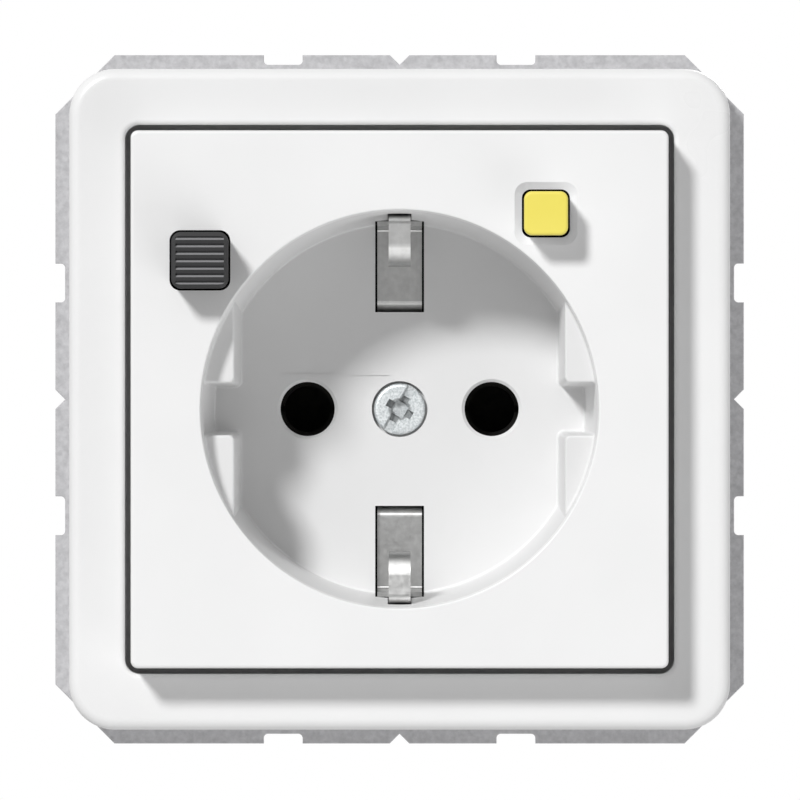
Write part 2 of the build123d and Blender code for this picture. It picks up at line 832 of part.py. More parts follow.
def stem_clip(place, diameter):
    """The spring steel ring that stops a stem behind the carrier."""
    x, z = place
    front = carrier_back_y + loose_gap / 2
    core_d = diameter - 2 * clip_groove_deep + slide_fit
    clip = rod(x, z, diameter + 2 * clip_rim, front, front + clip_t)
    clip -= rod(x, z, core_d, front, front + clip_t)
    mouth = core_d / 2 - slide_fit
    return clip - block(x - mouth, x + mouth, front, front + clip_t, z - diameter - clip_rim, z)


def reset_button():
    width = reset_hole[0] - 2 * reset_gap
    height = reset_hole[1] - 2 * reset_gap
    front = cover_face_y - reset_proud
    outline = rounded(width, height, reset_corner_r, reset_x, reset_z)
    cap = slab(outline, front, front + reset_cap_h)
    cap = chamfer(front_face(cap).outer_wire().edges(), reset_edge)
    for row in range(reset_grooves):
        groove_z = reset_z + (row - (reset_grooves - 1) / 2) * reset_groove_pitch
        side = Polygon(
            (front - reset_groove_deep, groove_z - reset_groove_w),
            (front + reset_groove_deep, groove_z),
            (front - reset_groove_deep, groove_z + reset_groove_w),
            align=None,
        )
        length = width / 2 - reset_edge
        cap -= Pos(reset_x, 0, 0) * extrude(Plane.YZ * side, amount=length, both=True)
    return cap + stem(reset_stem_at, reset_stem_d, front + reset_cap_h, reset_stem_end_y)


def test_button():
    front = cover_face_y - test_proud
    outline = rounded(test_side, test_side, test_corner_r, test_x, test_z)
    cap = slab(outline, front, front + test_cap_h)
    cap = fillet(front_face(cap).outer_wire().edges(), test_edge_r)
    return cap + stem(test_stem_at, test_stem_d, front + test_cap_h, test_stem_end_y)


def rear_housing():
    """The walls of the breaker, open to the carrier in front and to the cover behind."""
    shell = slab(rounded(housing_side, housing_side, housing_corner_r), 0, terminal_back_y)
    shell -= slab(rounded(housing_in_side, housing_in_side, housing_in_r), 0, terminal_back_y)
    for x, z in long_screw_at:
        shell += rod(x, z, long_screw_boss_d, carrier_back_y, terminal_back_y)
        shell -= rod(x, z, long_screw_d + 2 * loose_gap, carrier_back_y, terminal_back_y)

    # Wire entries: round-ended notches in the rear edge, which the cover closes
    half_w = wire_entry_d / 2
    for x, z in terminal_places():
        entry = Pos(x, wire_y, 0) * Cylinder(half_w, housing_side)
        entry += block(x - half_w, x + half_w, wire_y, rear_y, -housing_side, housing_side)
        shell -= entry & block(-housing_side, housing_side, 0, rear_y, *sorted((0, 2 * z)))
    return shell


def rear_cover():
    """The back of the breaker, with the posts of the carriage and the walls by the terminals."""
    cover = slab(rounded(housing_side, housing_side, housing_corner_r), terminal_back_y, rear_y)
    back = cover.faces().sort_by(Axis.Y)[-1]
    cover = fillet(back.outer_wire().edges(), rear_cover_edge_r)
    cover -= slab(
        rounded(*rear_cover_field, rear_cover_field_r), rear_y - rear_cover_field_deep, rear_y
    )
    for x in (-guide_post_x, guide_post_x):
        cover += rod(x, guide_post_z, guide_post_d, guide_post_front, terminal_back_y)
        pin_front = carriage_front_y - guide_pin_ahead
        cover += rod(x, guide_post_z, guide_pin_d, pin_front, guide_post_front)

    # Cradle behind the transformer core, hollowed to its round
    core_back_y = core_y + core_outer_d / 2
    cradle = block(
        -cradle_w / 2,
        cradle_w / 2,
        core_back_y - cradle_wrap,
        terminal_back_y,
        core_z - core_h / 2,
        core_z + core_h / 2,
    )
    cover += cradle - ring(core_outer_d + 2 * drop_in_fit, core_inner_d, 2 * core_h)

    # Insulating walls between the terminals
    wall_high = terminal_z + terminal_h / 2
    wall_low = terminal_z - terminal_h / 2
    half = barrier_t / 2
    for x in (-terminal_x / 2, terminal_x / 2):
        for z_low, z_high in ((wall_low, wall_high), (-wall_high, -wall_low)):
            cover += block(x - half, x + half, bar_back_y, terminal_back_y, z_low, z_high)

    # Tabs that centre the cover in the housing
    tab_outer = housing_in_side / 2 - drop_in_fit
    tab_front = terminal_back_y - rear_cover_tab_len
    half = rear_cover_tab_w / 2
    for side in (-1, 1):
        ends = sorted((side * tab_outer, side * (tab_outer - rear_cover_tab_t)))
        cover += block(*ends, tab_front, terminal_back_y, -half, half)

    # Recessed holes of the long screws and access to the terminal screws
    for x, z in long_screw_at:
        cover -= rod(x, z, long_screw_d + 2 * loose_gap, terminal_back_y, rear_y)
        head_front = rear_y - long_screw_head_t - drop_in_fit
        cover -= rod(x, z, long_screw_head_hole_d, head_front, rear_y)
    for x, z in terminal_places():
        cover -= rod(x, z, terminal_access_d, terminal_back_y, rear_y)
    return cover


def terminal_places():
    """Where the terminals stand: the supply pair above, the load pair and the earth below."""
    top = [(-terminal_x, terminal_z), (terminal_x, terminal_z)]
    low = [(-terminal_x, -terminal_z), (terminal_x, -terminal_z), (0, -terminal_z)]
    return top + low


def terminal_block(x, z):
    body = block(
        x - terminal_w / 2,
        x + terminal_w / 2,
        bar_back_y,
        terminal_back_y,
        z - terminal_h / 2,
        z + terminal_h / 2,
    )
    body -= Pos(x, wire_y, z) * Cylinder(wire_hole_d / 2, terminal_h)
    return body - rod(x, z, terminal_screw_d + slide_fit, wire_y, terminal_back_y)


def terminal_screws():
    screws = []
    for x, z in terminal_places():
        screw = rod(x, z, terminal_screw_d, wire_y + wire_hole_d / 2, terminal_back_y)
        head_back = terminal_back_y + terminal_screw_head_t
        head = rod(x, z, terminal_screw_head_d, terminal_back_y, head_back)
        slot = Pos(x, z) * Rectangle(terminal_screw_head_d, terminal_screw_slot_w)
        cross = Pos(x, z) * Rectangle(terminal_screw_slot_w, terminal_screw_head_d / 2)
        head -= slab(slot + cross, head_back - terminal_screw_head_t / 2, head_back)
        screws.append(screw + head)
    return Compound(children=screws)


def housing_screws():
    screws = []
    head_back = rear_y - drop_in_fit
    head_front = head_back - long_screw_head_t
    tip_y = carrier_back_y - long_screw_bite + loose_gap
    for x, z in long_screw_at:
        screw = rod(x, z, long_screw_d, tip_y, head_front)
        head = rod(x, z, long_screw_head_d, head_front, head_back)
        cross = Rectangle(long_screw_cross_w, long_screw_cross_len)
        cross += Rectangle(long_screw_cross_len, long_screw_cross_w)
        head -= slab(Pos(x, z) * cross, head_back - long_screw_head_t / 2, head_back)
        screws.append(screw + head)
    return Compound(children=screws)


def supply_contact(side):
    """The fixed contact that leads from a supply terminal, with its silver tip."""
    x = side * pole_x
    low = supply_pad_z - pad_w / 2
    high = terminal_z + terminal_h / 2 - loose_gap
    pad = block(x - pad_w / 2, x + pad_w / 2, bar_front, bar_back_y, low, high)
    return pad + rod(x, supply_pad_z, contact_tip_d, fixed_tip_y, bar_front)


def load_bar(side):
    """The copper strip from the load contact through the transformer to sleeve and terminal."""
    def across(x_low, x_high, z_low, z_high, y_low=bar_front, y_high=bar_back_y):
        ends = sorted((side * x_low, side * x_high))
        return block(*ends, y_low, y_high, z_low, z_high)

    inner = bar_gap / 2
    pad_low = load_pad_z - pad_w / 2
    pad_high = load_pad_z + pad_w / 2
    strip = across(pole_x - pad_w / 2, pole_x + pad_w / 2, pad_low, pad_high)
    strip += across(inner, pole_x, pad_low, pad_low + bar_strip)
    strip += across(inner, inner + bar_w, bar_low_z, pad_low + bar_strip)
    strip += across(inner, pole_x + bar_w / 2, bar_low_z, bar_low_z + bar_strip)
    sleeve_x = pin_pitch / 2
    strip += across(
        sleeve_x - sleeve_bar_w / 2,
        sleeve_x + sleeve_bar_w / 2,
        bar_low_z,
        bar_low_z + bar_strip,
        sleeve_end,
        bar_back_y,
    )
    strip += across(pole_x - bar_w / 2, pole_x + bar_w / 2, -terminal_z, bar_low_z + bar_strip)
    return strip + rod(side * pole_x, load_pad_z, contact_tip_d, fixed_tip_y, bar_front)


def moving_contact(side):
    """The bridge that joins the two fixed contacts of one pole."""
    x = side * pole_x
    low = load_pad_z - contact_tip_d / 2
    high = supply_pad_z + contact_tip_d / 2
    bridge = block(x - bridge_w / 2, x + bridge_w / 2, bridge_front_y, bridge_back_y, low, high)
    for z in (load_pad_z, supply_pad_z):
        bridge += rod(x, z, contact_tip_d, bridge_back_y, bridge_back_y + moving_tip_t)
    return bridge


def contact_carriage():
    """The insulating plate that carries both bridges, with an arm behind the reset stem."""
    half_w = pole_x + bridge_w / 2 + carriage_rim
    low_z = load_pad_z - contact_tip_d / 2 - carriage_rim
    high_z = supply_pad_z + contact_tip_d / 2 + carriage_rim
    outline = Pos(0, (low_z + high_z) / 2) * Rectangle(2 * half_w, high_z - low_z)
    stem_x, stem_z = reset_stem_at
    arm_h = reset_stem_d + 2 * carriage_arm_rim
    outline += Pos(stem_x / 2, stem_z) * Rectangle(-stem_x, arm_h)
    outline += Pos(stem_x, stem_z) * Circle(arm_h / 2)
    carriage = slab(outline, carriage_front_y, bridge_front_y)
    for x in (-guide_post_x, guide_post_x):
        bore_d = guide_pin_d + 2 * slide_fit
        carriage -= rod(x, guide_post_z, bore_d, carriage_front_y, bridge_front_y)

    # Catch that the nose of the trip lever holds back
    catch_x = lever_x - lever_catch_arm
    catch_low = lever_arm_high + lever_nose + lever_nose_rise + assembly_gap
    return carriage + block(
        catch_x,
        catch_x + lever_t,
        lever_front,
        carriage_front_y,
        catch_low,
        catch_low + lever_nose,
    )


def opening_springs():
    springs = []
    for x in (-guide_post_x, guide_post_x):
        springs.append(
            coil_spring(
                x,
                guide_post_z,
                opening_spring_r,
                opening_spring_wire,
                bridge_front_y,
                guide_post_front,
                spring_turns,
            )
        )
    return Compound(children=springs)


def ring(outer_d, inner_d, height):
    """A flat ring round the conductors, standing across them."""
    return Pos(0, core_y, core_z) * (Cylinder(outer_d / 2, height) - Cylinder(inner_d / 2, height))


def transformer_winding():
    """The two wound fields that wrap the core, each as one thick sleeve."""
    sleeve = ring(core_outer_d + 2 * winding_t, core_inner_d - 2 * winding_t, core_h + 2 * winding_t)
    sleeve -= ring(core_outer_d, core_inner_d, core_h)
    reach = core_outer_d
    half = math.radians(winding_arc / 2)
    wedge = Polygon(
        (0, 0),
        (reach * math.cos(half), -reach * math.sin(half)),
        (reach, -reach * math.sin(half)),
        (reach, reach * math.sin(half)),
        (reach * math.cos(half), reach * math.sin(half)),
        align=None,
    )
    fields = []
    for turn in (0, 180):
        cut = extrude(Rot(0, 0, turn) * wedge, amount=core_h, both=True)
        fields.append(sleeve & (Pos(0, core_y, core_z) * cut))
    return Compound(children=fields)


def trip_relay_case():
    case = block(
        relay_left_x,
        relay_right_x,
        carrier_back_y,
        carrier_back_y + relay_len,
        relay_low_z,
        relay_top_z,
    )
    case = chamfer(case.edges().filter_by(Axis.Y), relay_wall_edge)
    depth = plunger_in + plunger_travel + assembly_gap
    y = lever_front + lever_t / 2
    bore = Cylinder(plunger_d / 2 + slide_fit, depth, align=(Align.CENTER, Align.CENTER, Align.MAX))
    return case - Pos(plunger_x, y, relay_top_z) * bore


def relay_plunger():
    y = lever_front + lever_t / 2
    length = plunger_in + plunger_out
    pin = Cylinder(plunger_d / 2, length, align=(Align.CENTER, Align.CENTER, Align.MAX))
    return Pos(plunger_x, y, plunger_tip_z) * pin


def trip_lever():
    """Turned by the plunger on its right arm, it lets the carriage go at its left nose."""
    lever_back = lever_front + lever_t
    left_x = lever_x - lever_catch_arm
    right_x = plunger_x + lever_tip
    hub = Pos(lever_x, lever_z) * Circle(lever_hub_d / 2)
    arms = Pos((left_x + right_x) / 2, lever_z) * Rectangle(right_x - left_x, lever_arm_h)
    nose_x = left_x + lever_nose / 2
    nose = Pos(nose_x, lever_arm_high + lever_nose / 2) * Rectangle(lever_nose, lever_nose)
    lever = slab(hub + arms + nose, lever_front, lever_back)
    return lever - rod(lever_x, lever_z, lever_pin_d + 2 * slide_fit, lever_front, lever_back)


def lever_pin():
    lever_back = lever_front + lever_t
    head_front = lever_back + loose_gap
    pin = rod(lever_x, lever_z, lever_pin_d, carrier_back_y + assembly_gap, head_front)
    return pin + rod(lever_x, lever_z, 2 * lever_pin_d, head_front, head_front + lever_pin_head_t)


def test_contact_leaf():
    """A spring strip with a rolled eye at the root that it swings about."""
    leaf = block(
        leaf_root_x,
        leaf_root_x + leaf_len,
        leaf_front,
        leaf_front + leaf_t,
        leaf_z - leaf_w / 2,
        leaf_z + leaf_w / 2,
    )
    eye = Cylinder(leaf_eye_d / 2, leaf_w)
    return leaf + Pos(leaf_root_x, leaf_front + leaf_t / 2, leaf_z) * eye


def test_resistor():
    """The resistor behind the leaf, with its contact tip and the lead to the terminal."""
    x = test_stem_at[0] + resistor_off_stem[0]
    z = test_stem_at[1] + resistor_off_stem[1]
    low_z = z - lead_d / 2
    high_z = z + lead_d / 2
    body = rod(x, z, resistor_d, resistor_front, resistor_front + resistor_len)
    body += rod(x, z, lead_d, test_tip_front, bar_front)
    body += rod(x, z, 2 * lead_d, test_tip_front, test_tip_front + lead_d)
    tail_x = terminal_x + terminal_w / 2 - 2 * lead_d
    body += block(tail_x, x + lead_d / 2, bar_front - lead_d, bar_front, low_z, high_z)
    return body + block(tail_x, tail_x + lead_d, bar_front - lead_d, bar_back_y, low_z, high_z)


def circuit_board():
    back_y = carrier_back_y + board_len
    return block(board_left_x, board_right_x, carrier_back_y, back_y, board_low_z, board_high_z)


def board_components():
    """The parts soldered to the board: a can, a rectifier, a chip and a row of small parts."""
    def part(size, y_low, z_low):
        x, y, z = size
        return block(board_right_x, board_right_x + x, y_low, y_low + y, z_low, z_low + z)

    first_y = carrier_back_y + part_margin
    can_z = board_high_z - part_margin - can_d / 2
    can = Cylinder(can_d / 2, can_len, align=(Align.CENTER, Align.CENTER, Align.MIN))
    parts = [Pos(board_right_x, first_y + can_d / 2, can_z) * Rot(0, 90, 0) * can]
    rectifier_z = board_low_z + part_margin
    parts.append(part(rectifier_size, first_y, rectifier_z))
    small_y = first_y + can_d + part_margin
    chip_y = small_y + small_part_size[1] + part_margin / 2
    parts.append(part(chip_size, chip_y, can_z - chip_size[2]))
    for row in range(small_parts):
        parts.append(part(small_part_size, small_y, rectifier_z + row * small_part_pitch))
    return Compound(children=parts)


def earth_link():
    front = strap_seat_y + strap_t / 2
    half = earth_link_w / 2
    z_low = earth_link_z - bar_t / 2
    z_high = earth_link_z + bar_t / 2
    link = block(-half, half, front, bar_back_y, z_low, z_high)
    return link + block(-half, half, bar_front, bar_back_y, -terminal_z, z_high)


def write(name, shape):
    export_step(shape, os.path.join("parts", name + ".step"))


write("mounting_plate", mounting_plate())
write("cover_frame", cover_frame())
write("centre_plate", centre_plate())
write("plug_well", plug_well())
write("cover_screw", cover_screw())
write("cover_screw_insert", cover_screw_insert())
write("earth_strap", earth_strap())
write("strap_rivets", strap_rivets())
write("contact_carrier", contact_carrier())
write("contact_base", contact_base())
write("line_contact_sleeve", contact_sleeve(-1))
write("neutral_contact_sleeve", contact_sleeve(1))
write("reset_button", reset_button())
write("reset_stem_clip", stem_clip(reset_stem_at, reset_stem_d))
write("test_button", test_button())
write("test_stem_clip", stem_clip(test_stem_at, test_stem_d))
write(
    "reset_spring",
    coil_spring(
        *reset_stem_at,
        reset_spring_r,
        reset_spring_wire,
        cover_face_y - reset_proud + reset_cap_h,
        flange_front_y,
        spring_turns,
    ),
)
write(
    "test_spring",
    coil_spring(
        *test_stem_at,
        test_spring_r,
        test_spring_wire,
        cover_face_y - test_proud + test_cap_h,
        flange_front_y,
        spring_turns,
    ),
)
write("rear_housing", rear_housing())
write("rear_cover", rear_cover())
write("housing_screws", housing_screws())
write("contact_carriage", contact_carriage())
write("moving_contact_line", moving_contact(-1))
write("moving_contact_neutral", moving_contact(1))
write("opening_springs", opening_springs())
write("fixed_contact_line", supply_contact(-1))
write("fixed_contact_neutral", supply_contact(1))
write("line_load_bar", load_bar(-1))
write("neutral_load_bar", load_bar(1))
write("transformer_core", ring(core_outer_d, core_inner_d, core_h))
write("transformer_winding", transformer_winding())
write("trip_relay_case", trip_relay_case())
write("relay_plunger", relay_plunger())
write("trip_lever", trip_lever())
write("lever_pin", lever_pin())
write("circuit_board", circuit_board())
write("board_components", board_components())
write("test_contact_leaf", test_contact_leaf())
write("test_resistor", test_resistor())
write("earth_link", earth_link())
names = (
    "line_supply_terminal",
    "neutral_supply_terminal",
    "line_load_terminal",
    "neutral_load_terminal",
    "earth_terminal",
)
for name, place in zip(names, terminal_places()):
    write(name, terminal_block(*place))
write("terminal_screws", terminal_screws())
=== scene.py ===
import bpy
import bmesh
import math
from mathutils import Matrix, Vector

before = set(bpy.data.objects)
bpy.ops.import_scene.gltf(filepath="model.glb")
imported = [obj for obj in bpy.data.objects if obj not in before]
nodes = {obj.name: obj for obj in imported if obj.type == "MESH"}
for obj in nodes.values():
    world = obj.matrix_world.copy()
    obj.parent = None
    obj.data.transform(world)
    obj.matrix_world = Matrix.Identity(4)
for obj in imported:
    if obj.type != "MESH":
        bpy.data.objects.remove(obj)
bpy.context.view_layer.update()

# Contact carrier and contact base: the black inserts that everything is fixed to, moulded in
# heat-resistant plastic. Their mould is spark eroded, so they have an even fine grain. Their
# near-black colour and weak gloss are painted shade, which keeps the pin holes dark.


def finish_of(name, roughness, metallic=0.0):
    """A new surface finish with its shader and the place of each point on the object."""
    material = bpy.data.materials.new(name)
    material.use_nodes = True
    tree = material.node_tree
    shader = tree.nodes["Principled BSDF"]
    shader.inputs["Roughness"].default_value = roughness
    shader.inputs["Metallic"].default_value = metallic
    place = tree.nodes.new("ShaderNodeTexCoord")
    return material, tree, shader, place.outputs["Object"]


def speckle(tree, place, size, detail=3.0, stretch=(1, 1, 1)):
    """Uneven spots about the given size across, drawn out where stretch is under 1."""
    noise = tree.nodes.new("ShaderNodeTexNoise")
    noise.inputs["Scale"].default_value = 1 / size
    noise.inputs["Detail"].default_value = detail
    if stretch == (1, 1, 1):
        tree.links.new(place, noise.inputs["Vector"])
    else:
        mapping = tree.nodes.new("ShaderNodeMapping")
        mapping.inputs["Scale"].default_value = stretch
        tree.links.new(place, mapping.inputs["Vector"])
        tree.links.new(mapping.outputs["Vector"], noise.inputs["Vector"])
    return noise.outputs["Fac"]


def tint(tree, shader, spots, dark, light, low=0.35, high=0.65):
    """The colour runs from dark to light with the spots."""
    ramp = tree.nodes.new("ShaderNodeValToRGB")
    ramp.color_ramp.elements[0].position = low
    ramp.color_ramp.elements[0].color = (*dark, 1)
    ramp.color_ramp.elements[1].position = high
    ramp.color_ramp.elements[1].color = (*light, 1)
    tree.links.new(spots, ramp.inputs["Fac"])
    tree.links.new(ramp.outputs["Color"], shader.inputs["Base Color"])
    return ramp.outputs["Color"]


def sheen_change(tree, shader, spots, smooth, rough):
    """The gloss wanders between two values with the spots."""
    spread = tree.nodes.new("ShaderNodeMapRange")
    spread.inputs["From Min"].default_value = 0.3
    spread.inputs["From Max"].default_value = 0.7
    spread.inputs["To Min"].default_value = smooth
    spread.inputs["To Max"].default_value = rough
    tree.links.new(spots, spread.inputs["Value"])
    tree.links.new(spread.outputs["Result"], shader.inputs["Roughness"])


def relief(tree, shader, spots, height, strength=0.5):
    """The spots stand up by a height in metres."""
    bump = tree.nodes.new("ShaderNodeBump")
    bump.inputs["Strength"].default_value = strength
    bump.inputs["Distance"].default_value = height
    tree.links.new(spots, bump.inputs["Height"])
    tree.links.new(bump.outputs["Normal"], shader.inputs["Normal"])


def moulded(name, dark, light, gloss, grain, height):
    """Plastic out of a mould: a faint cloudiness in colour and gloss over a fine grain."""
    smooth, rough = gloss
    material, tree, shader, place = finish_of(name, rough)
    clouds = speckle(tree, place, size=0.006)
    tint(tree, shader, clouds, dark, light)
    sheen_change(tree, shader, clouds, smooth, rough)
    relief(tree, shader, speckle(tree, place, grain, 2.0), height)
    return material


def dress(material, *names):
    """Gives CAD nodes their finish."""
    for name in names:
        for holder in nodes[name].material_slots:
            holder.material = material


# Near-black colour: painted shade seen through the pin holes.
dark, light = (0.008, 0.008, 0.009), (0.012, 0.012, 0.013)
black = moulded("black_moulding_painted_shade", dark, light, gloss=(0.5, 0.6), grain=0.00018, height=0.00002)
black.node_tree.nodes["Principled BSDF"].inputs["Specular IOR Level"].default_value = 0.2
dress(black, "contact_carrier", "contact_base")

# Terminal blocks, rivets, screw insert and earth link: turned or sawn from brass rod and strip
# that has darkened a little in the air, with fine marks from the tool.

brass, tree, shader, place = finish_of("darkened_brass", roughness=0.35, metallic=1.0)
tint(tree, shader, speckle(tree, place, size=0.0012), (0.30, 0.20, 0.08), (0.56, 0.40, 0.17))
sheen_change(tree, shader, speckle(tree, place, size=0.0008), smooth=0.24, rough=0.46)
marks = speckle(tree, place, size=0.0002, detail=2.0, stretch=(0.15, 1, 1))
relief(tree, shader, marks, height=0.000006)
dress(
    brass,
    "strap_rivets",
    "cover_screw_insert",
    "earth_link",
    "line_supply_terminal",
    "neutral_supply_terminal",
    "line_load_terminal",
    "neutral_load_terminal",
    "earth_terminal",
)

# Contact sleeves: slotted brass tubes that grip the plug pins, drawn and set in the base behind
# the two pin holes. Their near-black colour is painted shade for the depth of those holes.

sleeve_painted_shade, tree, shader, place = finish_of("sleeve_black_painted_shade", roughness=0.5, metallic=0.6)
# Near black: painted shade for the deep pin holes.
dark, light = (0.004, 0.0035, 0.003), (0.012, 0.010, 0.007)
tint(tree, shader, speckle(tree, place, size=0.0009), dark, light)
marks = speckle(tree, place, size=0.0002, detail=2.0, stretch=(1, 0.15, 1))
relief(tree, shader, marks, height=0.000006)
dress(sleeve_painted_shade, "line_contact_sleeve", "neutral_contact_sleeve")

# Earth strap: one strip of hard spring bronze, nickel plated and tumbled to a soft satin sheen,
# held to the base by two rivets. By facing, the tongue noses get a painted highlight, and the
# flats and steep cut ends painted shade. The test contact leaf is the same strip.


def upward(tree):
    """How far the surface faces up, from -1 to 1."""
    surface = tree.nodes.new("ShaderNodeNewGeometry")
    facing = tree.nodes.new("ShaderNodeSeparateXYZ")
    tree.links.new(surface.outputs["Normal"], facing.inputs["Vector"])
    return facing.outputs["Z"]


def shades(tree, value, stops, blend="LINEAR"):
    """Greys set out along a value. Each stop is a place on it and how light it is there."""
    ramp = tree.nodes.new("ShaderNodeValToRGB")
    ramp.color_ramp.interpolation = blend
    steps = ramp.color_ramp.elements
    steps[0].position = stops[0][0]
    steps[1].position = stops[-1][0]
    for position, _ in stops[1:-1]:
        steps.new(position)
    for step, (_, shade) in zip(steps, stops):
        step.color = (shade, shade, shade, 1)
    tree.links.new(value, ramp.inputs["Fac"])
    return ramp.outputs["Color"]


def dulled(tree, colour, share):
    """A colour taken down to a share of itself, from 0 to 1."""
    product = tree.nodes.new("ShaderNodeMix")
    product.data_type = "RGBA"
    product.blend_type = "MULTIPLY"
    product.inputs["Factor"].default_value = 1.0
    tree.links.new(colour, product.inputs["A"])
    tree.links.new(share, product.inputs["B"])
    return product.outputs["Result"]


strap, tree, shader, place = finish_of("nickel_plated_strip", roughness=0.34, metallic=1.0)
dark, light = (0.90, 0.90, 0.89), (1.0, 1.0, 0.99)
cloudy = tint(tree, shader, speckle(tree, place, size=0.0007, detail=4.0), dark, light)
lean = tree.nodes.new("ShaderNodeMath")
lean.operation = "ABSOLUTE"
tree.links.new(upward(tree), lean.inputs[0])
# Painted highlight on the noses, painted shade on flats and cut ends, by how far they face up.
flat, nose_start, nose_end, cut_end = (0.2, 0.62), (0.34, 1.0), (0.5, 0.95), (0.85, 0.38)
painted_light_by_facing = shades(tree, lean.outputs["Value"], (flat, nose_start, nose_end, cut_end))
tree.links.new(dulled(tree, cloudy, painted_light_by_facing), shader.inputs["Base Color"])
sheen_change(tree, shader, speckle(tree, place, size=0.0005), smooth=0.30, rough=0.38)
relief(tree, shader, speckle(tree, place, size=0.00025, detail=3.0), height=0.000004)
dress(strap, "earth_strap", "test_contact_leaf")

# Load bars, fixed contacts and moving contacts: punched and bent from copper strip, with round
# tips riveted on. The bars lie in the housing, and the moving ones ride on the carriage.

copper, tree, shader, place = finish_of("copper_strip", roughness=0.32, metallic=1.0)
tint(tree, shader, speckle(tree, place, size=0.0016), (0.42, 0.19, 0.10), (0.72, 0.38, 0.24))
sheen_change(tree, shader, speckle(tree, place, size=0.0007), smooth=0.22, rough=0.42)
marks = speckle(tree, place, size=0.00025, detail=2.0, stretch=(0.2, 1, 1))
relief(tree, shader, marks, height=0.000006)
dress(
    copper,
    "line_load_bar",
    "neutral_load_bar",
    "fixed_contact_line",
    "fixed_contact_neutral",
    "moving_contact_line",
    "moving_contact_neutral",
)

# Summation transformer: a ring wound from thin magnetic strip and dipped in lacquer, with two
# fields of enamelled copper wire round it. It lies in a cradle of the rear cover.

core, tree, shader, place = finish_of("lacquered_core", roughness=0.4, metallic=0.3)
tint(tree, shader, speckle(tree, place, size=0.001), (0.030, 0.030, 0.034), (0.060, 0.060, 0.066))
relief(tree, shader, speckle(tree, place, size=0.0004), height=0.00001)
dress(core, "transformer_core")

winding, tree, shader, place = finish_of("enamelled_wire", roughness=0.28, metallic=0.9)
tint(tree, shader, speckle(tree, place, size=0.0007), (0.30, 0.08, 0.03), (0.52, 0.17, 0.07))
marks = speckle(tree, place, size=0.0003, detail=1.0, stretch=(0.2, 0.2, 1))
relief(tree, shader, marks, height=0.00004)
dress(winding, "transformer_winding")

# Trip relay: a closed case moulded in blue plastic, whose plunger works the trip lever when the
# transformer drives it.

dark, light = (0.012, 0.025, 0.075), (0.018, 0.035, 0.095)
relay = moulded("blue_relay_case", dark, light, gloss=(0.25, 0.35), grain=0.0003, height=0.00001)
dress(relay, "trip_relay_case")

# Plunger, lever pin, springs and stem clips: drawn steel wire and rod, cut, coiled or bent, with
# fine lines along the draw.

wire_steel, tree, shader, place = finish_of("drawn_steel", roughness=0.3, metallic=1.0)
tint(tree, shader, speckle(tree, place, size=0.0006), (0.36, 0.37, 0.38), (0.56, 0.57, 0.58))
sheen_change(tree, shader, speckle(tree, place, size=0.0005), smooth=0.2, rough=0.38)
marks = speckle(tree, place, size=0.00012, detail=2.0, stretch=(1, 0.2, 1))
relief(tree, shader, marks, height=0.000004)
dress(
    wire_steel,
    "relay_plunger",
    "lever_pin",
    "reset_spring",
    "test_spring",
    "opening_springs",
    "reset_stem_clip",
    "test_stem_clip",
)

# Contact carriage and trip lever: moulded in a red-brown thermoset that insulates both poles.
# The carriage slides on pins of the rear cover, and the lever turns on its steel pin.

dark, light = (0.13, 0.022, 0.012), (0.19, 0.034, 0.018)
thermoset = moulded(
    "red_brown_thermoset", dark, light, gloss=(0.3, 0.45), grain=0.00025, height=0.00001
)
dress(thermoset, "contact_carriage", "trip_lever")

# Amplifier board: green glass-fibre laminate, whose weave shows faintly through the lacquer,
# with black parts soldered on.

laminate, tree, shader, place = finish_of("green_laminate", roughness=0.3)
weave = tree.nodes.new("ShaderNodeTexWave")
weave.inputs["Scale"].default_value = 900.0
tree.links.new(place, weave.inputs["Vector"])
tint(tree, shader, weave.outputs["Fac"], (0.008, 0.060, 0.020), (0.012, 0.080, 0.028))
relief(tree, shader, weave.outputs["Fac"], height=0.000006)
dress(laminate, "circuit_board")

dark, light = (0.010, 0.010, 0.011), (0.018, 0.018, 0.020)
parts = moulded("black_components", dark, light, gloss=(0.35, 0.5), grain=0.0002, height=0.00001)
dress(parts, "board_components")

# Test resistor: a rod of tan ceramic with a wire wound in it, which lets a small current past
# the transformer when the test button is pressed.

dark, light = (0.30, 0.21, 0.11), (0.40, 0.29, 0.16)
ceramic = moulded("tan_ceramic", dark, light, gloss=(0.35, 0.5), grain=0.0003, height=0.00001)
dress(ceramic, "test_resistor")

# Rear housing and its cover: grey heat-resistant mouldings with a fine matt grain, held to the
# carrier by three long screws.

dark, light = (0.105, 0.110, 0.120), (0.130, 0.136, 0.146)
grey = moulded("grey_moulding", dark, light, gloss=(0.38, 0.52), grain=0.0002, height=0.00002)
dress(grey, "rear_housing", "rear_cover")

# Housing screws and terminal screws: steel with bright zinc plating, which shows as fine
# crystals. They go in from behind.

zinc, tree, shader, place = finish_of("bright_zinc", roughness=0.3, metallic=0.9)
crystals = speckle(tree, place, size=0.0004, detail=4.0)
tint(tree, shader, crystals, (0.50, 0.52, 0.51), (0.82, 0.86, 0.83), 0.38, 0.6)
sheen_change(tree, shader, crystals, smooth=0.22, rough=0.4)
relief(tree, shader, speckle(tree, place, size=0.0003, detail=3.0), height=0.00001)
dress(zinc, "housing_screws", "terminal_screws")

# Cover screw: zinc plated, its head tumbled to a fine sparkle. Painted shade darkens the floors of
# the slot and, most, the cross, and a disc round the middle; the floor of the square tip stays
# light.

head_face_y = 0.0026
recess_deep = 0.001
head_middle = (0, head_face_y, -0.001)
star_r = 0.0012
star_edge = 0.00012


def larger(tree, one, other):
    """The larger of two values."""
    pick = tree.nodes.new("ShaderNodeMath")
    pick.operation = "MAXIMUM"
    tree.links.new(one, pick.inputs[0])
    tree.links.new(other, pick.inputs[1])
    return pick.outputs["Value"]


